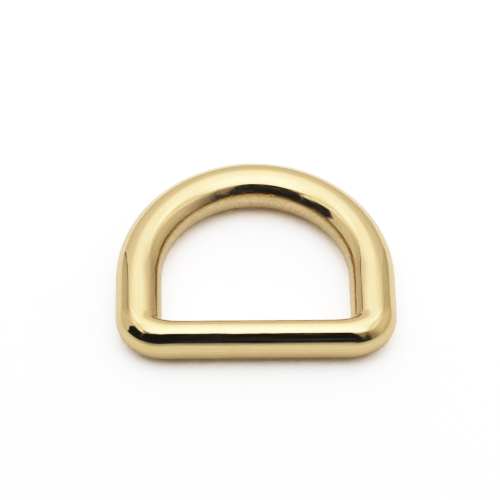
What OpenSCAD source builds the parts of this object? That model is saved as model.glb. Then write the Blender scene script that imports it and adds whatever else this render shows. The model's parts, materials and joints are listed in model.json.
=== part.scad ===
// A cast D ring for a strap, lying flat.
// Its surface is drawn between two outlines seen from above: the edge of the
// opening and the outer edge. At every station the section is an ellipse that
// reaches from one outline to the other, so the round bow runs into the
// narrower strap bar without a joint. Lengths are in millimetres.

/* [Opening] */
// Clear width between the two legs
opening_width = 25; // [15:0.5:60]
// How deep the rounded end of the opening is, from where the legs begin to curve
arch_depth = 13.9; // [8:0.1:40]
// How far the legs run straight down from there to the strap bar
leg_drop = 8.4; // [5:0.1:30]

/* [Casting] */
// Width of the bow and the legs, seen from above
bow_width = 6.1; // [3:0.1:12]
// Height of the bow and the legs, lying flat
bow_height = 6; // [3:0.1:12]
// Width of the strap bar, seen from above
bar_width = 4.6; // [2:0.1:10]
// Height of the strap bar, which is level with the bow's middle
bar_height = 5.7; // [2:0.1:12]

/* [Corners] */
// Radius of the two outer corners beside the strap bar
outer_corner_r = 6.2; // [2:0.1:9]
// How far the inner corner's sweep reaches along the bar
inner_sweep = 2.5; // [0.5:0.1:6]
// How far the inner corner's sweep reaches up the leg
inner_rise = 0.15; // [0.05:0.05:2]

/* [Smoothness] */
// Sides of the rounded section, in fours
section_sides = 40; // [16:4:48]
// Stations round the bow
arch_stations = 56; // [24:2:72]
// Stations round each corner
corner_stations = 16; // [8:1:24]
// Stations along the bar and along each leg
straight_stations = 5; // [2:1:8]

/* [Hidden] */
brass = [0.85, 0.68, 0.33];
half_opening = opening_width / 2;
half_width = half_opening + bow_width;
outer_arch = arch_depth + bow_width;
bar_inner_y = -leg_drop;
bar_outer_y = -leg_drop - bar_width;
bar_middle_y = -leg_drop - bar_width / 2;
// The casting's middle, front to back, so that the box is centred on the origin
middle_y = (outer_arch + bar_outer_y) / 2;
// The casting lies on its highest part, the bow or the bar
middle_z = max(bow_height, bar_height) / 2;

// A point of a rounded corner: its centre, how far it reaches each way, and
// the turn from the leg's side (0) to the bar's side (90)
function corner_point(centre, reach, turn) =
    [centre.x + reach.x * cos(turn), centre.y - reach.y * sin(turn)];

// The corner of each outline on the right-hand side
inner_centre = [half_opening - inner_sweep, bar_inner_y + inner_rise];
outer_centre = [half_width - outer_corner_r, bar_outer_y + outer_corner_r];
function inner_corner(turn) = corner_point(inner_centre, [inner_sweep, inner_rise], turn);
function outer_corner(turn) = corner_point(outer_centre, [outer_corner_r, outer_corner_r], turn);

// A station is a pair: the point on the opening's edge and the one on the outer edge
function arch_station(turn) = [
    [half_opening * cos(turn), arch_depth * sin(turn)],
    [half_width * cos(turn), outer_arch * sin(turn)]
];
function corner_station(turn) = [inner_corner(turn), outer_corner(turn)];
function between(a, b, share) = a + (b - a) * share;
function mirrored(station) = [for (p = station) [-p.x, p.y]];

// Half of the way round, from the bow's crown down the right leg to the bar's middle
crown_to_leg = [for (i = [0 : arch_stations / 2 - 1]) arch_station(90 - 180 * i / arch_stations)];
down_leg = [for (i = [0 : straight_stations - 1])
    between(arch_station(0), corner_station(0), i / straight_stations)];
round_corner = [for (i = [0 : corner_stations - 1]) corner_station(90 * i / corner_stations)];
bar_middle = [[0, bar_inner_y], [0, bar_outer_y]];
along_bar = [for (i = [0 : straight_stations])
    between(corner_station(90), bar_middle, i / straight_stations)];
half_way = concat(crown_to_leg, down_leg, round_corner, along_bar);

// The other half is its mirror image, without the crown and the bar's middle again
last = len(half_way) - 1;
stations = concat(half_way, [for (i = [last - 1 : -1 : 1]) mirrored(half_way[i])]);

// The section's height eases from the bow's to the bar's on the way down the leg
function leg_share(y) = max(0, y / bar_middle_y);
function eased(share) = share * share * (3 - 2 * share);
function section_height(y) = bow_height + (bar_height - bow_height) * eased(leg_share(y));

// One point of a station's section; turn 0 is the outer edge and 90 the top
function section_point(station, turn) =
    let (middle = (station[0] + station[1]) / 2, reach = (station[1] - station[0]) / 2)
    [
        middle.x + reach.x * cos(turn),
        middle.y + reach.y * cos(turn) - middle_y,
        middle_z + section_height(middle.y) / 2 * sin(turn)
    ];

module d_ring() {
    around = len(stations);
    surface_points = [
        for (station = stations)
        for (j = [0 : section_sides - 1])
        section_point(station, 360 * j / section_sides)
    ];
    function at(i, j) = (i % around) * section_sides + j % section_sides;
    function far(a, b) = norm(surface_points[a] - surface_points[b]);
    // A four-sided patch, cut in two along its shorter diagonal
    function patch(a, b, c, d) = far(a, c) <= far(b, d) ? [[a, b, c], [a, c, d]] : [[a, b, d], [b, c, d]];
    surface_faces = [
        for (i = [0 : around - 1])
        for (j = [0 : section_sides - 1])
        each patch(at(i, j), at(i + 1, j), at(i + 1, j + 1), at(i, j + 1))
    ];
    color(brass) polyhedron(points = surface_points, faces = surface_faces);
}

d_ring();
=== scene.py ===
"""A cast and polished brass D ring, lying on a white table in a small photo studio."""

import json
import math

import bmesh
import bpy
from mathutils import Matrix, Vector


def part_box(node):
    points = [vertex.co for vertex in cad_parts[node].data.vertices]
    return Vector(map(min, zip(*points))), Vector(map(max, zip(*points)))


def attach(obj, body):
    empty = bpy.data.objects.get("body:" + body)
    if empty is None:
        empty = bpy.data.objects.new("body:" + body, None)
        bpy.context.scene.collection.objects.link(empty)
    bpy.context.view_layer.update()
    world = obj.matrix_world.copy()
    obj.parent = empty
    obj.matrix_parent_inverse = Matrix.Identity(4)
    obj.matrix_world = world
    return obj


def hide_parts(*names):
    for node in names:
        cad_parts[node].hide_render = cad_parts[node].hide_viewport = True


bl_info = {
    "name": "Brass D Ring",
    "version": (1, 0, 0),
    "blender": (4, 5, 0),
    "location": "View3D > Sidebar > D Ring",
    "description": "Casts a polished brass D ring for a strap and sets up its studio",
    "category": "Object",
}

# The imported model
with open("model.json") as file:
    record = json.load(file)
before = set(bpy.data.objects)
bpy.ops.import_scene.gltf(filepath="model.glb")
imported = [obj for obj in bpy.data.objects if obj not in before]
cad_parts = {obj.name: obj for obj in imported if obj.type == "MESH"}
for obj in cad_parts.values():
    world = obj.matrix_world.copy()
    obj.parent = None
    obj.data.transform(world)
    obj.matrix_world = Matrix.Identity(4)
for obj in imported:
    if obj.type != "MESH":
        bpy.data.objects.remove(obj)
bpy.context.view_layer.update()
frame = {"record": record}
CAD_NODE = "d_ring"

RING_LOW, RING_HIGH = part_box(CAD_NODE)
MOUNTS = {mount["name"]: mount for mount in frame["record"]["mounts"]}
MILLIMETRE = 0.001


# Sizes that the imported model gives
def mount_place(name):
    """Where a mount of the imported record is."""
    return Vector(MOUNTS[name]["pos_m"])


FRAME_OPENING = MOUNTS["strap_bar"]["dims"]["length_mm"] * MILLIMETRE
FRAME_BOW_WIDTH = 2 * (RING_HIGH.y - mount_place("bow").y)
FRAME_BAR_WIDTH = 2 * (mount_place("strap_bar").y - RING_LOW.y)
FRAME_BOW_HEIGHT = RING_HIGH.z - RING_LOW.z


# Settings
class RingSizes(bpy.types.PropertyGroup):
    """Sizes of the casting."""

    opening_width: bpy.props.FloatProperty(
        name="Opening Width", description="Clear width between the legs",
        default=FRAME_OPENING, unit="LENGTH")
    bow_width: bpy.props.FloatProperty(
        name="Bow Width", description="Width of the bow and the legs, seen from above",
        default=FRAME_BOW_WIDTH, unit="LENGTH")
    bow_height: bpy.props.FloatProperty(
        name="Bow Height", description="Height of the bow and the legs, lying flat",
        default=FRAME_BOW_HEIGHT, unit="LENGTH")
    bar_width: bpy.props.FloatProperty(
        name="Bar Width", description="Width of the strap bar, seen from above",
        default=FRAME_BAR_WIDTH, unit="LENGTH")
    bar_height: bpy.props.FloatProperty(
        name="Bar Height", description="Height of the strap bar",
        default=0.0057, unit="LENGTH")
    bar_crown: bpy.props.FloatProperty(
        name="Bar Crown", description="How much the strap bar's top swells up between the corners",
        default=0.000115, unit="LENGTH")
    leg_drop: bpy.props.FloatProperty(
        name="Leg Drop", description="How far the legs run straight down to the strap bar",
        default=0.0084, unit="LENGTH")
    outer_corner: bpy.props.FloatProperty(
        name="Outer Corner", description="Radius of the outer corners beside the strap bar",
        default=0.0062, unit="LENGTH")
    inner_sweep: bpy.props.FloatProperty(
        name="Inner Sweep", description="How far the inner corner reaches along the bar",
        default=0.0025, unit="LENGTH")
    inner_rise: bpy.props.FloatProperty(
        name="Inner Rise", description="How far the inner corner reaches up the leg",
        default=0.00015, unit="LENGTH")


class BrassFinish(bpy.types.PropertyGroup):
    """Colour and polish of the brass."""

    colour: bpy.props.FloatVectorProperty(
        name="Brass", description="Colour of the clean polished brass",
        default=(0.90, 0.69, 0.392), subtype="COLOR", size=3, min=0, max=1)
    warm_colour: bpy.props.FloatVectorProperty(
        name="Warm Brass", description="Colour where the polish is a little duller",
        default=(0.88, 0.655, 0.345), subtype="COLOR", size=3, min=0, max=1)
    # Painted shade: the inside of the opening is tinted darker, partly a duller polish and partly
    # shade painted into the colour
    inside_shade_colour: bpy.props.FloatVectorProperty(
        name="Inside Brass", description="Colour inside the opening, where the polish is dull",
        default=(0.75, 0.585, 0.36), subtype="COLOR", size=3, min=0, max=1)
    # Painted shade: the slope into the opening on the left is tinted darker, shade painted into the
    # colour
    slope_shade_colour: bpy.props.FloatVectorProperty(
        name="Worn Brass", description="Colour of the dull slope into the opening on the left",
        default=(0.57, 0.445, 0.29), subtype="COLOR", size=3, min=0, max=1)
    scratch_colour: bpy.props.FloatVectorProperty(
        name="Scratch Colour", description="Colour that the fine scratches give back",
        default=(0.86, 0.73, 0.55), subtype="COLOR", size=3, min=0, max=1)
    veil: bpy.props.FloatProperty(
        name="Veil", description="Share of the light that fine scratches spread inside the opening",
        default=0.05, min=0, max=1, subtype="FACTOR")
    roughness: bpy.props.FloatProperty(
        name="Roughness", description="Roughness of the best polished places",
        default=0.07, min=0, max=1, subtype="FACTOR")
    scratch_roughness: bpy.props.FloatProperty(
        name="Scratch Roughness", description="Roughness of the fine scratches",
        default=0.55, min=0, max=1, subtype="FACTOR")
    haze: bpy.props.FloatProperty(
        name="Haze", description="How much roughness the duller places add",
        default=0.05, min=0, max=1, subtype="FACTOR")
    inside_haze: bpy.props.FloatProperty(
        name="Inside Haze", description="How much roughness the inside of the opening adds",
        default=0.17, min=0, max=1, subtype="FACTOR")
    patch_size: bpy.props.FloatProperty(
        name="Patch Size", description="Size of the duller places",
        default=0.004, unit="LENGTH")
    line_width: bpy.props.FloatProperty(
        name="Line Width", description="Width of the polishing lines, as an angle round the rod",
        default=0.09, subtype="ANGLE")
    line_length: bpy.props.FloatProperty(
        name="Line Length", description="Length of the polishing lines",
        default=0.006, unit="LENGTH")
    line_depth: bpy.props.FloatProperty(
        name="Line Depth", description="Depth of the polishing lines",
        default=0.000008, unit="LENGTH", precision=6)
    wave_size: bpy.props.FloatProperty(
        name="Wave Size", description="Size of the soft waves that polishing left",
        default=0.0035, unit="LENGTH")
    wave_depth: bpy.props.FloatProperty(
        name="Wave Depth", description="Depth of the soft waves",
        default=0.00001, unit="LENGTH", precision=6)
    pit_size: bpy.props.FloatProperty(
        name="Pit Size", description="Spacing of the casting pits",
        default=0.0006, unit="LENGTH")
    pit_depth: bpy.props.FloatProperty(
        name="Pit Depth", description="Depth of the casting pits",
        default=0.000012, unit="LENGTH", precision=6)


class LightTent(bpy.types.PropertyGroup):
    """The cloth tent that lights the ring. White paper in the open glows about 1."""

    roof_height: bpy.props.FloatProperty(
        name="Roof Height", description="Height of the roof over the table",
        default=0.482, unit="LENGTH")
    roof_half_width: bpy.props.FloatProperty(
        name="Roof Half Width", description="How far the roof reaches to each side",
        default=0.40, unit="LENGTH")
    roof_back: bpy.props.FloatProperty(
        name="Roof Back", description="Where the roof ends at the back",
        default=0.385, unit="LENGTH")
    roof_front: bpy.props.FloatProperty(
        name="Roof Front", description="Where the roof ends at the front",
        default=-0.279, unit="LENGTH")
    foot_half_width: bpy.props.FloatProperty(
        name="Foot Half Width", description="How far the tent's foot reaches to each side",
        default=0.62, unit="LENGTH")
    foot_back: bpy.props.FloatProperty(
        name="Foot Back", description="Where the foot of the back wall stands",
        default=0.72, unit="LENGTH")
    left_foot_front: bpy.props.FloatProperty(
        name="Left Foot Front", description="Where the left wall's foot ends at the front",
        default=-0.50, unit="LENGTH")
    right_foot_front: bpy.props.FloatProperty(
        name="Right Foot Front", description="Where the right wall's foot ends at the front",
        default=-0.55, unit="LENGTH")
    window_top: bpy.props.FloatProperty(
        name="Window Top", description="Height of the opening in the left wall",
        default=0.352, unit="LENGTH")
    window_edge_low: bpy.props.FloatProperty(
        name="Window Edge Low", description="Where the left opening ends at the back, low down",
        default=-0.055, unit="LENGTH")
    window_edge_high: bpy.props.FloatProperty(
        name="Window Edge High", description="Where the left opening ends at the back, high up",
        default=0.006, unit="LENGTH")
    roof_glow: bpy.props.FloatProperty(
        name="Roof Glow", description="How much the roof glows away from its lamps",
        default=1.25, min=0)
    roof_back_glow: bpy.props.FloatProperty(
        name="Roof Back Glow", description="How much more the roof glows at the back",
        default=0.36, min=0)
    lamp_glow: bpy.props.FloatProperty(
        name="Lamp Glow", description="How much the large lamp over the roof adds",
        default=1.18, min=0)
    small_lamp_glow: bpy.props.FloatProperty(
        name="Small Lamp Glow", description="How much each small lamp over the roof adds",
        default=0.45, min=0)
    wall_top_glow: bpy.props.FloatProperty(
        name="Wall Top Glow", description="How much more the walls glow next to the roof",
        default=0.60, min=0)
    back_glow: bpy.props.FloatProperty(
        name="Back Glow", description="How much the back wall glows half way up",
        default=1.03, min=0)
    back_foot_glow: bpy.props.FloatProperty(
        name="Back Foot Glow", description="How much the back wall glows low down",
        default=0.82, min=0)
    left_glow: bpy.props.FloatProperty(
        name="Left Glow", description="How much the left wall glows",
        default=0.88, min=0)
    right_glow: bpy.props.FloatProperty(
        name="Right Glow", description="How much the right wall glows at the back",
        default=0.95, min=0)
    right_front_glow: bpy.props.FloatProperty(
        name="Right Front Glow", description="How much the right wall glows at the front",
        default=0.40, min=0)
    right_foot_glow: bpy.props.FloatProperty(
        name="Right Foot Glow", description="How much the right wall glows low down",
        default=0.74, min=0)
    dark_glow: bpy.props.FloatProperty(
        name="Dark Glow", description="How much the dark room outside the tent glows",
        default=0.058, min=0)
    wall_colour: bpy.props.FloatVectorProperty(
        name="Wall Colour", description="Colour of the light from the back and the left wall",
        default=(1.0, 1.0, 1.0), subtype="COLOR", size=3, min=0)
    roof_colour: bpy.props.FloatVectorProperty(
        name="Roof Colour", description="Colour of the light from the roof",
        default=(0.98, 1.0, 1.0), subtype="COLOR", size=3, min=0)
    right_colour: bpy.props.FloatVectorProperty(
        name="Right Colour", description="Colour of the light from the right wall",
        default=(1.0, 0.985, 0.93), subtype="COLOR", size=3, min=0)
    side_room_colour: bpy.props.FloatVectorProperty(
        name="Side Room Colour", description="Colour of the light from the room on the right",
        default=(1.0, 0.93, 0.82), subtype="COLOR", size=3, min=0)
    dark_colour: bpy.props.FloatVectorProperty(
        name="Dark Colour", description="Colour of the faint light from the dark room",
        default=(0.8, 1.0, 1.35), subtype="COLOR", size=3, min=0)


class PaperLook(bpy.types.PropertyGroup):
    """How much light the white paper on the table gives back."""

    seen_colour: bpy.props.FloatVectorProperty(
        name="Seen Colour", description="Light that the paper gives back to the camera",
        default=(1.735, 1.705, 1.755), subtype="COLOR", size=3, min=0)
    shadow_colour: bpy.props.FloatVectorProperty(
        name="Shadow Colour", description="Faint light in the shadows on the paper",
        default=(0.03, 0.028, 0.03), subtype="COLOR", size=3, min=0)
    front: bpy.props.FloatProperty(
        name="Front", description="Light that the paper in front gives back to the brass",
        default=0.95, min=0)
    back: bpy.props.FloatProperty(
        name="Back", description="Light that the paper under the bow gives back to the brass",
        default=0.98, min=0)
    behind: bpy.props.FloatProperty(
        name="Behind", description="How much more the paper behind the bow gives back",
        default=0.32, min=0)
    far_share: bpy.props.FloatProperty(
        name="Far Share", description="Share of that light which the paper gives back far away",
        default=0.64, min=0, max=1, subtype="FACTOR")


class CameraPlace(bpy.types.PropertyGroup):
    """Where the camera stands and how much it sees."""

    elevation: bpy.props.FloatProperty(
        name="Elevation", description="Height of the camera over the table, as an angle",
        default=math.radians(48.0), subtype="ANGLE")
    turn: bpy.props.FloatProperty(
        name="Turn", description="How far the camera stands round to the left",
        default=math.radians(1.469), subtype="ANGLE")
    roll: bpy.props.FloatProperty(
        name="Roll", description="How far the camera is rolled",
        default=math.radians(0.661), subtype="ANGLE")
    distance: bpy.props.FloatProperty(
        name="Distance", description="Distance from the camera to the ring",
        default=0.6, unit="LENGTH")
    picture_width: bpy.props.FloatProperty(
        name="Picture Width", description="Width of the picture at the ring",
        default=0.0666, unit="LENGTH")


class DRingSettings(bpy.types.PropertyGroup):
    """Everything that can be set."""

    sizes: bpy.props.PointerProperty(type=RingSizes)
    finish: bpy.props.PointerProperty(type=BrassFinish)
    tent: bpy.props.PointerProperty(type=LightTent)
    paper: bpy.props.PointerProperty(type=PaperLook)
    camera: bpy.props.PointerProperty(type=CameraPlace)


# The casting's shape
ARCH_STATIONS = 96
CORNER_STATIONS = 24
LEG_STATIONS = 6
HALF_BAR_STATIONS = 8
SECTION_SIDES = 48
# The bar's crown starts after this share of the way from the arch down to the bar's middle
CROWN_START = 0.8


def quarter(centre, reach, turn):
    """A point of a rounded corner, from the leg's side (0) to the bar's side (a quarter turn)."""
    return Vector((centre[0] + reach[0] * math.cos(turn), centre[1] - reach[1] * math.sin(turn)))


def outline_stations(sizes):
    """Pairs of points, one on the opening's edge and one on the outer edge, and the ring's middle.

    They run from the crown down the right leg, along the bar and back up the left leg. Y is 0
    where the legs run into the arch.
    """
    half_opening = sizes.opening_width / 2
    half_width = half_opening + sizes.bow_width
    depth = RING_HIGH.y - RING_LOW.y
    arch_depth = depth - sizes.bow_width - sizes.leg_drop - sizes.bar_width
    outer_arch = arch_depth + sizes.bow_width
    bar_inner = -sizes.leg_drop
    bar_outer = -sizes.leg_drop - sizes.bar_width
    inner_centre = (half_opening - sizes.inner_sweep, bar_inner + sizes.inner_rise)
    outer_centre = (half_width - sizes.outer_corner, bar_outer + sizes.outer_corner)

    def arch(turn):
        inner = Vector((half_opening * math.cos(turn), arch_depth * math.sin(turn)))
        outer = Vector((half_width * math.cos(turn), outer_arch * math.sin(turn)))
        return inner, outer

    def corner(turn):
        inner = quarter(inner_centre, (sizes.inner_sweep, sizes.inner_rise), turn)
        outer = quarter(outer_centre, (sizes.outer_corner, sizes.outer_corner), turn)
        return inner, outer

    def between(first, second, share):
        return tuple(a.lerp(b, share) for a, b in zip(first, second))

    quarter_turn = math.pi / 2
    bar_middle = (Vector((0, bar_inner)), Vector((0, bar_outer)))
    half_arch = ARCH_STATIONS // 2
    half = [arch(quarter_turn * (1 - i / half_arch)) for i in range(half_arch)]
    half += [between(arch(0), corner(0), i / LEG_STATIONS) for i in range(LEG_STATIONS)]
    half += [corner(quarter_turn * i / CORNER_STATIONS) for i in range(CORNER_STATIONS)]
    half += [between(corner(quarter_turn), bar_middle, i / HALF_BAR_STATIONS)
             for i in range(HALF_BAR_STATIONS + 1)]
    other = [tuple(Vector((-p.x, p.y)) for p in station) for station in half[-2:0:-1]]
    return half + other, Vector((0, (outer_arch + bar_outer) / 2))


def bar_shares(sizes, y):
    """How far a section has eased down the leg to the bar's height, and on to the bar's crown."""
    share = max(0.0, y / -(sizes.leg_drop + sizes.bar_width / 2))
    crown = max(0.0, (share - CROWN_START) / (1 - CROWN_START))
    return [part * part * (3 - 2 * part) for part in (share, crown)]


def section_matrices(sizes):
    """One matrix a station, which lays a circle of radius 1 on the section's ellipse."""
    stations, centre = outline_stations(sizes)
    # A subdivided tube shrinks by this much, so the cage is larger
    swell = 3 / (2 + math.cos(2 * math.pi / SECTION_SIDES))
    middle_z = max(sizes.bow_height, sizes.bar_height) / 2
    matrices = []
    for inner, outer in stations:
        middle = (inner + outer) / 2
        reach = (outer - inner) / 2 * swell
        height_share, crown_share = bar_shares(sizes, middle.y)
        height = sizes.bow_height + (sizes.bar_height - sizes.bow_height) * height_share
        crown = sizes.bar_crown * crown_share
        rise = (height + crown) / 2 * swell
        across = Vector((reach.x, reach.y, 0))
        upright = Vector((0, 0, rise))
        ahead = across.cross(upright).normalized() * rise
        place = Vector((middle.x - centre.x, middle.y - centre.y, middle_z + crown / 2))
        rows = zip(across, upright, ahead, place)
        matrices.append(Matrix([list(row) for row in rows] + [[0, 0, 0, 1]]))
    return matrices


# What the polishing lines follow: the way round the casting, and the way round its section
FLOW_TURN = "flow_turn"
FLOW_LAY = "flow_lay"


def mark_flow(tube, ring, share, length):
    """Notes on a ring of vertices how far round the casting and round the section each one is."""
    turn_layer = tube.verts.layers.float_vector[FLOW_TURN]
    lay_layer = tube.verts.layers.float_vector[FLOW_LAY]
    radius = length / (2 * math.pi)
    around = 2 * math.pi * share
    for side, vertex in enumerate(ring):
        angle = 2 * math.pi * side / len(ring)
        vertex[turn_layer] = (radius * math.cos(around), radius * math.sin(around), 0)
        vertex[lay_layer] = (math.cos(angle), math.sin(angle), 0)


def cast_tube(name, sizes):
    """Draws the casting as one tube, a circle extruded from station to station."""
    matrices = section_matrices(sizes)
    places = [m.translation for m in matrices]
    steps = [(b - a).length for a, b in zip(places, places[1:] + places[:1])]
    length = sum(steps)
    tube = bmesh.new()
    tube.verts.layers.float_vector.new(FLOW_TURN)
    tube.verts.layers.float_vector.new(FLOW_LAY)
    made = bmesh.ops.create_circle(
        tube, cap_ends=False, segments=SECTION_SIDES, radius=1, matrix=matrices[0])
    ring = made["verts"]
    mark_flow(tube, ring, 0, length)
    walked = 0
    for before, after, step in zip(matrices, matrices[1:], steps):
        edges = [edge for edge in {e for v in ring for e in v.link_edges}
                 if all(v in ring for v in edge.verts)]
        grown = bmesh.ops.extrude_edge_only(tube, edges=edges)["geom"]
        new = {v for v in grown if isinstance(v, bmesh.types.BMVert)}
        # The new vertex that each old one is joined to, in the old order
        ring = [next(e.other_vert(v) for e in v.link_edges if e.other_vert(v) in new) for v in ring]
        bmesh.ops.transform(tube, matrix=after @ before.inverted(), verts=ring)
        walked += step
        mark_flow(tube, ring, walked / length, length)
    ends = [e for e in tube.edges if e.is_boundary]
    bmesh.ops.bridge_loops(tube, edges=ends)
    bmesh.ops.recalc_face_normals(tube, faces=tube.faces)
    for face in tube.faces:
        face.smooth = True
    mesh = bpy.data.meshes.new(name)
    tube.to_mesh(mesh)
    tube.free()
    return mesh


# Nodes
class Number:
    """A number that nodes work out, written as an ordinary sum."""

    def __init__(self, sheet, socket):
        self.sheet = sheet
        self.socket = socket

    def __add__(self, other):
        return self.sheet.maths("ADD", self, other)

    def __sub__(self, other):
        return self.sheet.maths("SUBTRACT", self, other)

    def __mul__(self, other):
        return self.sheet.maths("MULTIPLY", self, other)

    __radd__ = __add__
    __rmul__ = __mul__

    def __rsub__(self, other):
        return self.sheet.maths("SUBTRACT", other, self)


class NodeSheet:
    """Short ways to place and join nodes."""

    def __init__(self, tree):
        self.tree = tree
        self.tree.nodes.clear()

    def add(self, kind, inputs=None, **settings):
        """Places a node, and feeds its inputs."""
        node = self.tree.nodes.new(kind)
        for name, value in settings.items():
            setattr(node, name, value)
        for name, value in (inputs or {}).items():
            self.feed(node.inputs[name], value)
        return node

    def feed(self, socket, value):
        """Joins a socket to another one, or sets its value."""
        if isinstance(value, Number):
            value = value.socket
        if isinstance(value, bpy.types.NodeSocket):
            self.tree.links.new(value, socket)
        else:
            socket.default_value = value

    def maths(self, operation, *values):
        """The result of one sum."""
        node = self.add("ShaderNodeMath", operation=operation)
        for socket, value in zip(node.inputs, values):
            self.feed(socket, value)
        return Number(self, node.outputs[0])

    def far(self, across, along):
        """How far away a place is, from its two distances at a right angle."""
        return self.maths("SQRT", across * across + along * along)

    def ease(self, value, low, high, to_low=0.0, to_high=1.0):
        """Eases from one value at low to another one at high, and stays there."""
        node = self.add("ShaderNodeMapRange", {
            "Value": value, "From Min": low, "From Max": high,
            "To Min": to_low, "To Max": to_high}, interpolation_type="SMOOTHSTEP")
        return Number(self, node.outputs["Result"])

    def split(self, vector):
        """The three numbers of a vector."""
        parts = self.add("ShaderNodeSeparateXYZ", {"Vector": vector}).outputs
        return [Number(self, part) for part in parts]

    def place(self):
        """Where a point of the surface is, along X, Y and Z."""
        return self.split(self.add("ShaderNodeTexCoord").outputs["Object"])

    def blend(self, share, first, second):
        """A colour between two."""
        node = self.add("ShaderNodeMix", data_type="RGBA")
        self.feed(node.inputs["Factor"], share)
        for socket, colour in zip((node.inputs["A"], node.inputs["B"]), (first, second)):
            self.feed(socket, colour if isinstance(colour, bpy.types.NodeSocket) else (*colour, 1))
        return node.outputs["Result"]

    def noise(self, vector, scale, detail, **inputs):
        """A cloudy pattern of numbers from 0 to 1, in four dimensions if W is given."""
        node = self.add("ShaderNodeTexNoise", {
            "Vector": vector, "Scale": scale, "Detail": detail, **inputs},
            noise_dimensions="4D" if "W" in inputs else "3D")
        return Number(self, node.outputs["Fac"])

    def glow(self, colour, strength):
        """A shader that gives light."""
        if not isinstance(colour, bpy.types.NodeSocket):
            colour = (*colour, 1)
        return self.add("ShaderNodeEmission", {"Color": colour, "Strength": strength}).outputs[0]

    def diffuse(self, colour):
        """A shader of matt paper."""
        return self.add("ShaderNodeBsdfDiffuse", {"Color": colour}).outputs[0]

    def both(self, first, second):
        """Two shaders on top of each other."""
        return self.add("ShaderNodeAddShader", {0: first, 1: second}).outputs[0]

    def seen_or_mirrored(self, seen, mirrored):
        """One shader for what the camera sees itself, and one for all other light."""
        path = self.add("ShaderNodeLightPath")
        mix = self.add("ShaderNodeMixShader", {
            0: path.outputs["Is Camera Ray"], 1: mirrored, 2: seen})
        return mix.outputs[0]


def new_material(name):
    """A new material and the sheet of its nodes."""
    material = bpy.data.materials.new(name)
    material.use_nodes = True
    return material, NodeSheet(material.node_tree)


# Brass

# A mark comes from a noise and fades in between two of its levels
PIT_LEVELS = (0.56, 0.68)
DULL_LEVELS = (0.42, 0.72)
SPECK_LEVELS = (0.42, 0.64)
SCRATCH_LEVELS = (0.48, 0.64)
# Pits and specks lie this much closer together than the pit size says
PIT_CROWDING = 1.3
SPECK_CROWDING = 1.2
# Round the rod from its top or its underside (0) to the side towards the opening (1), the slope into
# the opening starts, the painted shade of the inside starts, the inside is reached, and the left
# slope's painted shade starts
SLOPE_LAY = (0.35, 0.70)
INSIDE_SHADE_LAY = (0.66, 0.90)
INSIDE_LAY = (0.78, 0.97)
SLOPE_SHADE_LAY = (0.40, 0.68)
# Along X, the slope's painted shade starts left of the ring's middle, and its haze ends before the
# left leg
LEFT_SLOPE_X = (-0.0005, -0.004)
HAZY_X = (-0.011, -0.006)
# How strongly each colour covers the clean brass
WARM_COVER = 0.7
INSIDE_SHADE_COVER = 0.5
SLOPE_SHADE_COVER = 0.45
# How many times the veil lies on the slope, where it is hazy, on specks, on hazy specks and on lines
SLOPE_VEIL = 0.6
HAZY_VEIL = 1.3
SPECK_VEIL = 1.6
HAZY_SPECK_VEIL = 1.8
LINE_VEIL = 2.1


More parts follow.
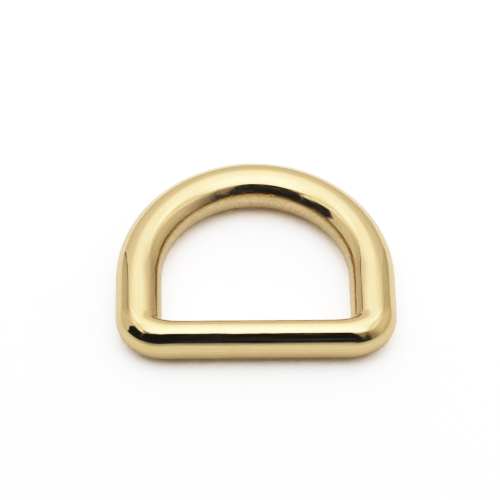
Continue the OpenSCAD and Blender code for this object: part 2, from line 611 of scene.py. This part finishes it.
def brass_material(finish):
    """Mirror-polished brass with polishing lines, soft waves, haze, a few casting pits, and painted
    shade inside the opening and on its left slope.
    """
    material, sheet = new_material("polished_brass")
    place = sheet.add("ShaderNodeTexCoord").outputs["Object"]
    turn = sheet.add("ShaderNodeAttribute", attribute_name=FLOW_TURN).outputs["Vector"]
    lay = sheet.add("ShaderNodeAttribute", attribute_name=FLOW_LAY).outputs["Vector"]
    place_x, _, _ = sheet.split(place)
    turn_x, turn_y, _ = sheet.split(turn)
    lay_x, lay_y, _ = sheet.split(lay)

    # Lines that the buffing wheel left, which run along the casting
    along = 1 / finish.line_length
    across = 1 / finish.line_width
    flow = sheet.add("ShaderNodeCombineXYZ", {
        "X": turn_x * along, "Y": turn_y * along, "Z": lay_x * across})
    lines = sheet.noise(flow.outputs[0], scale=1.0, detail=3.0, W=lay_y * across)
    waves = sheet.noise(place, 1 / finish.wave_size, detail=1.0)
    pit_noise = sheet.noise(place, PIT_CROWDING / finish.pit_size, detail=2.0)
    dull_noise = sheet.noise(place, 1 / finish.patch_size, detail=3.0)
    speck_noise = sheet.noise(place, SPECK_CROWDING / finish.pit_size, detail=4.0)
    pits = sheet.ease(pit_noise, *PIT_LEVELS)
    dull = sheet.ease(dull_noise, *DULL_LEVELS)
    specks = sheet.ease(speck_noise, *SPECK_LEVELS)
    # Inside the opening the wheel reaches less well, so it is hazier; its colour there is darkened
    # with painted shade
    slope = sheet.ease(lay_y, *SLOPE_LAY)
    inside_shade = sheet.ease(lay_y, *INSIDE_SHADE_LAY)
    inside = sheet.ease(lay_y, *INSIDE_LAY)
    # The slope into the opening is hazier on the left, and darkened there with painted shade
    left_half = sheet.ease(place_x, *LEFT_SLOPE_X) * (1 - inside)
    slope_shade = left_half * sheet.ease(lay_y, *SLOPE_SHADE_LAY)
    hazy = left_half * sheet.ease(place_x, *HAZY_X)

    height = lines * finish.line_depth + waves * finish.wave_depth - pits * inside * finish.pit_depth
    bump = sheet.add("ShaderNodeBump", {"Height": height, "Strength": 1.0, "Distance": 1.0})
    tint = sheet.blend(dull * WARM_COVER, finish.colour, finish.warm_colour)
    # Painted shade: the colour is darkened inside the opening
    tint = sheet.blend(inside_shade * (INSIDE_SHADE_COVER + specks), tint, finish.inside_shade_colour)
    # Painted shade: the colour is darkened on the slope into the opening on the left
    tint = sheet.blend(slope_shade * SLOPE_SHADE_COVER, tint, finish.slope_shade_colour)
    rough = finish.roughness + dull * finish.haze + inside * finish.inside_haze
    polish = sheet.add("ShaderNodeBsdfPrincipled", {
        "Metallic": 1.0, "Base Color": tint, "Roughness": rough, "Normal": bump.outputs[0]})
    scratches = sheet.add("ShaderNodeBsdfPrincipled", {
        "Metallic": 1.0, "Base Color": (*finish.scratch_colour, 1),
        "Roughness": finish.scratch_roughness, "Normal": bump.outputs[0]})
    speck_veil = specks * (SPECK_VEIL - inside + HAZY_SPECK_VEIL * hazy)
    veil = slope * (SLOPE_VEIL + HAZY_VEIL * hazy + speck_veil)
    veil = veil + LINE_VEIL * sheet.ease(lines, *SCRATCH_LEVELS)
    mix = sheet.add("ShaderNodeMixShader", {
        0: veil * finish.veil, 1: polish.outputs[0], 2: scratches.outputs[0]})
    sheet.add("ShaderNodeOutputMaterial", {"Surface": mix.outputs[0]})
    return material


# Light tent

# The lamps over the roof: where their light falls on it, and how far it reaches
LAMP_PLACE = (0.0, -0.06)
LAMP_REACH = 0.44
SMALL_LAMP_PLACES = ((-0.26, 0.22), (0.27, 0.21), (-0.25, -0.15), (0.22, -0.16))
SMALL_LAMP_REACH = 0.17
# The roof gets brighter towards its back, and loses light beside its edges, in the seams there and in
# its front left corner. The last two are measured from the edge and from the corner.
ROOF_BACK_Y = (0.1, 0.3)
ROOF_EDGE_X = (0.30, 0.38)
ROOF_EDGE_LOSS = 0.14
ROOF_SEAM_AWAY = (0.016, 0.008)
ROOF_SEAM_LOSS = 0.4
ROOF_CORNER_AWAY = (0.10, 0.20)
ROOF_CORNER_SHARE = 0.45
# Every wall gets brighter towards the roof between these heights
WALL_TOP_Z = (0.345, 0.475)
# The back wall: how it brightens with height and at its foot, and what it loses to the right, and high
# up to the right and to the left
BACK_RISE_Z = (0.02, 0.4)
BACK_FOOT_Z = (0.09, 0.0)
BACK_FOOT_GAIN = 0.2
BACK_RIGHT_X = (0.0, 0.6)
BACK_RIGHT_LOSS = 0.1
BACK_HIGH_Z = (0.34, 0.41)
HIGH_RIGHT_X = (0.05, 0.25)
HIGH_RIGHT_LOSS = 0.23
HIGH_LEFT_X = (-0.1, -0.3)
HIGH_LEFT_LOSS = 0.14
# The corners beside the back wall: a fold, and the shade beside it
FOLD_AWAY = (0.05, 0.0)
SHADE_AWAY = (0.34, 0.08)
LEFT_FOLD_LOSS = 0.68
LEFT_SHADE_LOSS = 0.2
RIGHT_FOLD_LOSS = 0.10
RIGHT_SHADE_LOSS = 0.22
# The left wall's opening: how its back edge leans and how soft it is, the band of cloth over it, and
# the pole in front of it
WINDOW_LEAN_Z = (0.10, 0.20)
WINDOW_EDGE_Y = (-0.02, 0.02)
BAND_Z = (0.0, 0.06)
BAND_Y = (-0.38, -0.16)
POLE_Y = (0.06, 0.0)
POLE_Z = (0.12, 0.42)
POLE_SHARE = 0.35
# The right wall dims towards the front and towards its foot, and its bright top fades to the front
RIGHT_FRONT_Y = (-0.42, 0.0)
RIGHT_FOOT_Z = (0.02, 0.26)
RIGHT_TOP_Y = (-0.35, -0.1)
RIGHT_TOP_SHARE = 0.2
# Glows below this one are tinted towards the colour of the dark room
TINTED_BELOW = 0.3


def glow_material(name, glow, tent, colour):
    """A glowing cloth, whose glow the function works out from a place on it."""
    material, sheet = new_material(name)
    strength = glow(sheet, tent, *sheet.place())
    clear = sheet.ease(strength, tent.dark_glow, TINTED_BELOW)
    tint = sheet.blend(clear, tent.dark_colour, colour)
    sheet.add("ShaderNodeOutputMaterial", {"Surface": sheet.glow(tint, strength)})
    return material


def roof_glow(sheet, tent, x, y, z):
    """The roof glows under a large lamp and four small ones, and dims at its edges."""
    glow = sheet.ease(y, *ROOF_BACK_Y, tent.roof_glow, tent.roof_glow + tent.roof_back_glow)
    lamps = [(LAMP_PLACE, LAMP_REACH, tent.lamp_glow)]
    lamps += [(place, SMALL_LAMP_REACH, tent.small_lamp_glow) for place in SMALL_LAMP_PLACES]
    for (lamp_x, lamp_y), reach, strength in lamps:
        away = sheet.far(x - lamp_x, y - lamp_y)
        glow = glow + sheet.ease(away, reach, 0.0, 0.0, strength)
    side = sheet.maths("ABSOLUTE", x)
    edge = sheet.ease(side, *ROOF_EDGE_X)
    seam = sheet.ease(tent.roof_half_width - side, *ROOF_SEAM_AWAY)
    corner_away = sheet.far(x + tent.roof_half_width, y - tent.roof_front)
    corner = sheet.ease(corner_away, *ROOF_CORNER_AWAY, ROOF_CORNER_SHARE, 1.0)
    return glow * (1 - ROOF_EDGE_LOSS * edge - ROOF_SEAM_LOSS * seam) * corner


def wall_top(sheet, tent, z):
    """The walls glow more near the roof."""
    return sheet.ease(z, *WALL_TOP_Z, 0.0, tent.wall_top_glow)


def leaning_edge(tent, z, roof_y, foot_y):
    """Where an edge of the tent is at a height, from where it is at the roof and at the foot."""
    return roof_y + (foot_y - roof_y) * (1 - z * (1 / tent.roof_height))


def crease(sheet, tent, y, z, fold_loss, shade_loss):
    """A dark fold down the corner between a side wall and the back wall, and the shade beside it."""
    away = leaning_edge(tent, z, tent.roof_back, tent.foot_back) - y
    fold = sheet.ease(away, *FOLD_AWAY, 0.0, fold_loss)
    shade = sheet.ease(away, *SHADE_AWAY, 0.0, shade_loss)
    return 1 - fold - shade


def back_glow(sheet, tent, x, y, z):
    """The back wall is brightest at its top, and dims to the sides."""
    wall = sheet.ease(z, *BACK_RISE_Z, tent.back_foot_glow, tent.back_glow)
    foot = sheet.ease(z, *BACK_FOOT_Z, 0.0, BACK_FOOT_GAIN)
    high_right = HIGH_RIGHT_LOSS * sheet.ease(x, *HIGH_RIGHT_X)
    high_left = HIGH_LEFT_LOSS * sheet.ease(x, *HIGH_LEFT_X)
    high = sheet.ease(z, *BACK_HIGH_Z) * (high_right + high_left)
    right = BACK_RIGHT_LOSS * sheet.ease(x, *BACK_RIGHT_X)
    return wall + wall_top(sheet, tent, z) + foot - right - high


def left_glow(sheet, tent, x, y, z):
    """The left wall is open at the front, under a band of cloth and behind a pole."""
    wall = tent.left_glow + wall_top(sheet, tent, z)
    wall = wall * crease(sheet, tent, y, z, LEFT_FOLD_LOSS, LEFT_SHADE_LOSS)
    window_edge = sheet.ease(z, *WINDOW_LEAN_Z, tent.window_edge_low, tent.window_edge_high)
    covered = sheet.ease(y - window_edge, *WINDOW_EDGE_Y)
    band = sheet.ease(z - tent.window_top, *BAND_Z) * sheet.ease(y, *BAND_Y)
    front = leaning_edge(tent, z, tent.roof_front, tent.left_foot_front)
    pole = sheet.ease(y - front, *POLE_Y) * sheet.ease(z, *POLE_Z, 0.0, POLE_SHARE)
    lit = sheet.maths("MAXIMUM", sheet.maths("MAXIMUM", covered, band), pole)
    return tent.dark_glow + (wall - tent.dark_glow) * lit


def right_glow(sheet, tent, x, y, z):
    """The right wall dims towards the open front and towards its foot."""
    to_front = sheet.ease(y, *RIGHT_FRONT_Y, tent.right_front_glow, tent.right_glow)
    to_foot = sheet.ease(z, *RIGHT_FOOT_Z, tent.right_foot_glow, tent.right_glow)
    wall = sheet.maths("MINIMUM", to_front, to_foot)
    top = wall_top(sheet, tent, z) * sheet.ease(y, *RIGHT_TOP_Y, RIGHT_TOP_SHARE, 1.0)
    return (wall + top) * crease(sheet, tent, y, z, RIGHT_FOLD_LOSS, RIGHT_SHADE_LOSS)


# Which way each wall faces, and how the cloth of each side glows
WALL_SIDES = {"back": Vector((0, 1)), "left": Vector((-1, 0)), "right": Vector((1, 0))}
CLOTH_GLOWS = {"roof": roof_glow, "back": back_glow, "left": left_glow, "right": right_glow}


# The dark room

# One card stands upright across the open front, with the pale edge of a bench and a little floor
ROOM_SIZE = (2.4, 1.4)
ROOM_PLACE = (-0.2, -1.2, 0.7)
BENCH_TOP_Z = (0.62, 0.52)
BENCH_FOOT_Z = (0.33, 0.42)
BENCH_X = (-0.01, 0.05)
BENCH_GLOW = 0.08
FLOOR_Z = (0.13, -0.02)
FLOOR_GLOW = 0.55
# Another one stands beside the right wall's front edge. Its bright part starts along a line that
# leans by a share of the height over a level, and so does the dark gap in it.
SIDE_ROOM_SIZE = (0.80, 1.2)
SIDE_ROOM_PLACE = (0.56, -0.6, 0.6)
SIDE_WALL_X = (0.28, 0.41)
SIDE_WALL_LEAN = 0.18
SIDE_WALL_LEVEL = 0.4
SIDE_LOW_Z = (0.1, 0.75)
SIDE_LOW_GLOW = (0.18, 0.45)
SIDE_HIGH_Z = (0.75, 1.2)
SIDE_HIGH_GLOW = 0.8
SIDE_DIM_X = (0.5, 0.6)
SIDE_DIM_SHARE = 0.7
GAP_LEFT_X = (0.41, 0.46)
GAP_LEAN = 0.43
GAP_LEVEL = 0.25
GAP_RIGHT_X = (0.66, 0.58)
GAP_TOP_Z = (0.70, 0.45)
GAP_LOSS = 0.8


def room_glow(sheet, tent, x, y, z):
    """Through the tent's open front the room is dark, with the pale edge of a bench in it."""
    bench = sheet.ease(z, *BENCH_TOP_Z) * sheet.ease(z, *BENCH_FOOT_Z) * sheet.ease(x, *BENCH_X)
    floor = sheet.ease(z, *FLOOR_Z)
    return tent.dark_glow + BENCH_GLOW * bench + FLOOR_GLOW * floor


def side_room_glow(sheet, tent, x, y, z):
    """Beyond the right wall's front edge is a dim wall of the room, with a dark gap low down."""
    wall = sheet.ease(x + SIDE_WALL_LEAN * (z - SIDE_WALL_LEVEL), *SIDE_WALL_X)
    gap_left = sheet.ease(x - GAP_LEAN * (z - GAP_LEVEL), *GAP_LEFT_X)
    gap = gap_left * sheet.ease(x, *GAP_RIGHT_X) * sheet.ease(z, *GAP_TOP_Z)
    low = sheet.ease(z, *SIDE_LOW_Z, *SIDE_LOW_GLOW)
    high = sheet.ease(z, *SIDE_HIGH_Z, 0.0, SIDE_HIGH_GLOW)
    dim = sheet.ease(x, *SIDE_DIM_X, 1.0, SIDE_DIM_SHARE)
    return tent.dark_glow + (low + high) * wall * dim * (1 - GAP_LOSS * gap)


# Table
TABLE_SIZE = (4, 4)
# Far from the ring, the paper that the camera sees glows up to pure white
SEEN_FAR_AWAY = (0.08, 0.25)
SEEN_FAR_GLOW = 3.0
# Painted light: the paper that the brass sees is painted brighter or dimmer, changing between the bar
# and the ring's middle, brighter behind the bow and dimmer far away. What counts as far lies further
# off behind the ring.
FRONT_Y = (-0.012, 0.0)
BEHIND_Y = (0.02, 0.05)
FAR_AWAY = (0.03, 0.10)
FAR_LEAN = 0.5
# A faint bluish light in what the brass sees of the paper's shadows
LIFT_COLOUR = (0.5, 0.8, 1.0)
LIFT_GLOW = 0.03


def table_material(look):
    """White paper, which the camera sees lit up to pure white and the brass sees less lit."""
    material, sheet = new_material("white_table")
    x, y, _ = sheet.place()
    away = sheet.far(x, y)
    seen = sheet.both(sheet.diffuse((*look.seen_colour, 1)), sheet.glow(look.shadow_colour, 1.0))
    far_glow = sheet.ease(away, *SEEN_FAR_AWAY, 0.0, SEEN_FAR_GLOW)
    seen = sheet.both(seen, sheet.glow((1, 1, 1), far_glow))
    # Painted light: the paper that the brass sees is brighter behind the bow and dimmer far away
    paper = sheet.ease(y, *FRONT_Y, look.front, look.back)
    paper = paper + sheet.ease(y, *BEHIND_Y, 0.0, look.behind)
    paper = paper * sheet.ease(away - FAR_LEAN * y, *FAR_AWAY, 1.0, look.far_share)
    grey = sheet.add("ShaderNodeCombineColor", {"Red": paper, "Green": paper, "Blue": paper})
    mirrored = sheet.both(sheet.diffuse(grey.outputs[0]), sheet.glow(LIFT_COLOUR, LIFT_GLOW))
    surface = sheet.seen_or_mirrored(seen, mirrored)
    sheet.add("ShaderNodeOutputMaterial", {"Surface": surface})
    return material


# Studio
def stage_object(name, sheet):
    """Makes a part of the studio, which lights the ring and is hidden from the camera."""
    mesh = bpy.data.meshes.new(name)
    sheet.to_mesh(mesh)
    sheet.free()
    piece = bpy.data.objects.new(name, mesh)
    bpy.context.scene.collection.objects.link(piece)
    piece.visible_camera = False
    return piece


def card(name, size, matrix, material):
    """A flat card of the studio, of a width and a height."""
    sheet = bmesh.new()
    bmesh.ops.create_grid(sheet, x_segments=1, y_segments=1, size=0.5)
    bmesh.ops.transform(sheet, matrix=matrix @ Matrix.Diagonal((*size, 1, 1)), verts=sheet.verts)
    piece = stage_object(name, sheet)
    piece.data.materials.append(material)
    return piece


def light_tent(tent):
    """A tent of white cloth over the table, narrower at its roof and open to the camera's side."""
    cloth = bmesh.new()
    bmesh.ops.create_cube(cloth, size=1)
    height = tent.roof_height
    for vertex in cloth.verts:
        right = vertex.co.x > 0
        back = vertex.co.y > 0
        up = vertex.co.z > 0
        half_width = tent.roof_half_width if up else tent.foot_half_width
        foot_front = tent.right_foot_front if right else tent.left_foot_front
        front = tent.roof_front if up else foot_front
        rear = tent.roof_back if up else tent.foot_back
        x = half_width if right else -half_width
        vertex.co = (x, rear if back else front, height if up else 0)
    cloth.normal_update()
    order = list(CLOTH_GLOWS)
    open_sides = []
    for face in cloth.faces:
        heights = {round(vertex.co.z / height) for vertex in face.verts}
        if heights == {1}:
            face.material_index = order.index("roof")
        elif heights == {0} or face.normal.y < -0.5:
            open_sides.append(face)
        else:
            side = max(WALL_SIDES, key=lambda name: face.normal.xy.dot(WALL_SIDES[name]))
            face.material_index = order.index(side)
    bmesh.ops.delete(cloth, geom=open_sides, context="FACES")
    piece = stage_object("light_tent", cloth)
    colours = {"roof": tent.roof_colour, "right": tent.right_colour}
    for name, glow in CLOTH_GLOWS.items():
        colour = colours.get(name, tent.wall_colour)
        piece.data.materials.append(glow_material(name + "_cloth", glow, tent, colour))
    return piece


def dark_room(tent):
    """Sets up the cards of the room in front of the tent."""
    upright = Matrix.Rotation(math.pi / 2, 4, "X")
    card("room", ROOM_SIZE, Matrix.Translation(ROOM_PLACE) @ upright,
         glow_material("room", room_glow, tent, tent.dark_colour))
    card("side_room", SIDE_ROOM_SIZE, Matrix.Translation(SIDE_ROOM_PLACE) @ upright,
         glow_material("side_room", side_room_glow, tent, tent.side_room_colour))


# The camera sees a pure white backdrop
BACKDROP_GLOW = 4.0


def studio_world(tent):
    """A dark room all round, with a white backdrop for the camera."""
    world = bpy.data.worlds.new("studio")
    world.use_nodes = True
    sheet = NodeSheet(world.node_tree)
    room = sheet.add("ShaderNodeBackground", {
        "Color": (*tent.dark_colour, 1), "Strength": tent.dark_glow})
    backdrop = sheet.add("ShaderNodeBackground", {"Strength": BACKDROP_GLOW})
    surface = sheet.seen_or_mirrored(backdrop.outputs[0], room.outputs[0])
    sheet.add("ShaderNodeOutputWorld", {"Surface": surface})
    return world


# The photograph's contrast: a brightness x becomes 1 - exp(-strength * x ** power). The curve's points
# lie closer together in the dark tones, its last one is white, and its table goes on past it.
TONE_STRENGTH = 1.438
TONE_POWER = 1.619
TONE_STEPS = 14
TONE_SPACING = 1.6
TONE_WHITE = 1.95
TONE_TABLE_END = 4


def tone_curve(scene):
    """The photograph's contrast: dark tones deepen and bright ones roll off to white."""
    view = scene.view_settings
    view.view_transform = "Standard"
    view.use_curve_mapping = True
    mapping = view.curve_mapping
    mapping.extend = "EXTRAPOLATED"
    mapping.clip_max_x = TONE_TABLE_END
    mapping.use_clip = False
    places = [TONE_WHITE * (i / TONE_STEPS) ** TONE_SPACING for i in range(TONE_STEPS + 1)]
    values = [1 - math.exp(-TONE_STRENGTH * x ** TONE_POWER) for x in places]
    values[-1] = 1.0
    for curve in list(mapping.curves)[:3]:
        points = curve.points
        while len(points) > 2:
            points.remove(points[-1])
        points[0].location = (places[0], values[0])
        points[1].location = (places[-1], values[-1])
        for x, y in list(zip(places, values))[1:-1]:
            points.new(x, y)
    mapping.update()


SENSOR_WIDTH = 36
NEAR_CLIP = 0.01
FAR_CLIP = 20
# The picture's width and height in pixels, and where in it the legs run into the arch
PICTURE_SIZE = 500
ARCH_SEEN_AT = Vector((255.347, 278.923))


def set_camera(scene, view, sizes):
    """Puts the camera where the photograph was taken from."""
    camera = bpy.data.objects.new("camera", bpy.data.cameras.new("camera"))
    scene.collection.objects.link(camera)
    scene.camera = camera
    lens = camera.data
    lens.sensor_width = SENSOR_WIDTH
    lens.lens = SENSOR_WIDTH * view.distance / view.picture_width
    lens.clip_start = NEAR_CLIP
    lens.clip_end = FAR_CLIP
    level = math.cos(view.elevation)
    away = Vector((-math.sin(view.turn) * level, -math.cos(view.turn) * level,
                   math.sin(view.elevation)))
    look = (-away).to_track_quat("-Z", "Y").to_matrix() @ Matrix.Rotation(view.roll, 3, "Z")
    # The middle of the ring where the legs run into the arch
    _, centre = outline_stations(sizes)
    arch_start = Vector((-centre.x, -centre.y, sizes.bow_height / 2))
    pixel = view.picture_width / PICTURE_SIZE
    from_middle = ARCH_SEEN_AT - Vector((PICTURE_SIZE / 2, PICTURE_SIZE / 2))
    offset = look @ Vector((-from_middle.x * pixel, from_middle.y * pixel, 0))
    place = arch_start + offset + away * view.distance
    camera.matrix_world = Matrix.Translation(place) @ look.to_4x4()


# Steps
class DRING_OT_cast_ring(bpy.types.Operator):
    """Casts the ring, polishes it and puts it in the solid's place"""

    bl_idname = "dring.cast_ring"
    bl_label = "Cast Ring"

    def execute(self, context):
        settings = context.scene.d_ring
        mesh = cast_tube("brass_ring", settings.sizes)
        ring = bpy.data.objects.new("brass_ring", mesh)
        context.scene.collection.objects.link(ring)
        smooth = ring.modifiers.new("Smooth", "SUBSURF")
        smooth.levels = smooth.render_levels = 1
        mesh.materials.append(brass_material(settings.finish))
        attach(ring, "root")
        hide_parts(CAD_NODE)
        return {"FINISHED"}


class DRING_OT_set_stage(bpy.types.Operator):
    """Lays the white table and sets up the light tent, the room round it and the camera"""

    bl_idname = "dring.set_stage"
    bl_label = "Set Stage"

    def execute(self, context):
        scene = context.scene
        settings = scene.d_ring
        scene.world = studio_world(settings.tent)
        table = card("table", TABLE_SIZE, Matrix.Identity(4), table_material(settings.paper))
        # The table is the one part of the studio that the camera sees
        table.visible_camera = True
        light_tent(settings.tent)
        dark_room(settings.tent)
        set_camera(scene, settings.camera, settings.sizes)
        tone_curve(scene)
        return {"FINISHED"}


class DRING_PT_panel(bpy.types.Panel):
    """Lists the settings and the steps"""

    bl_idname = "DRING_PT_panel"
    bl_label = "D Ring"
    bl_space_type = "VIEW_3D"
    bl_region_type = "UI"
    bl_category = "D Ring"

    def draw(self, context):
        layout = self.layout
        settings = context.scene.d_ring
        groups = (settings.sizes, settings.finish, settings.tent, settings.paper, settings.camera)
        for group in groups:
            box = layout.box()
            for name in group.__annotations__:
                box.prop(group, name)
        layout.operator(DRING_OT_cast_ring.bl_idname)
        layout.operator(DRING_OT_set_stage.bl_idname)


CLASSES = (RingSizes, BrassFinish, LightTent, PaperLook, CameraPlace, DRingSettings,
           DRING_OT_cast_ring, DRING_OT_set_stage, DRING_PT_panel)


def register():
    for cls in CLASSES:
        bpy.utils.register_class(cls)
    bpy.types.Scene.d_ring = bpy.props.PointerProperty(type=DRingSettings)


def unregister():
    del bpy.types.Scene.d_ring
    for cls in reversed(CLASSES):
        bpy.utils.unregister_class(cls)


def main():
    register()
    bpy.ops.dring.cast_ring()
    bpy.ops.dring.set_stage()


if __name__ == "__main__":
    main()
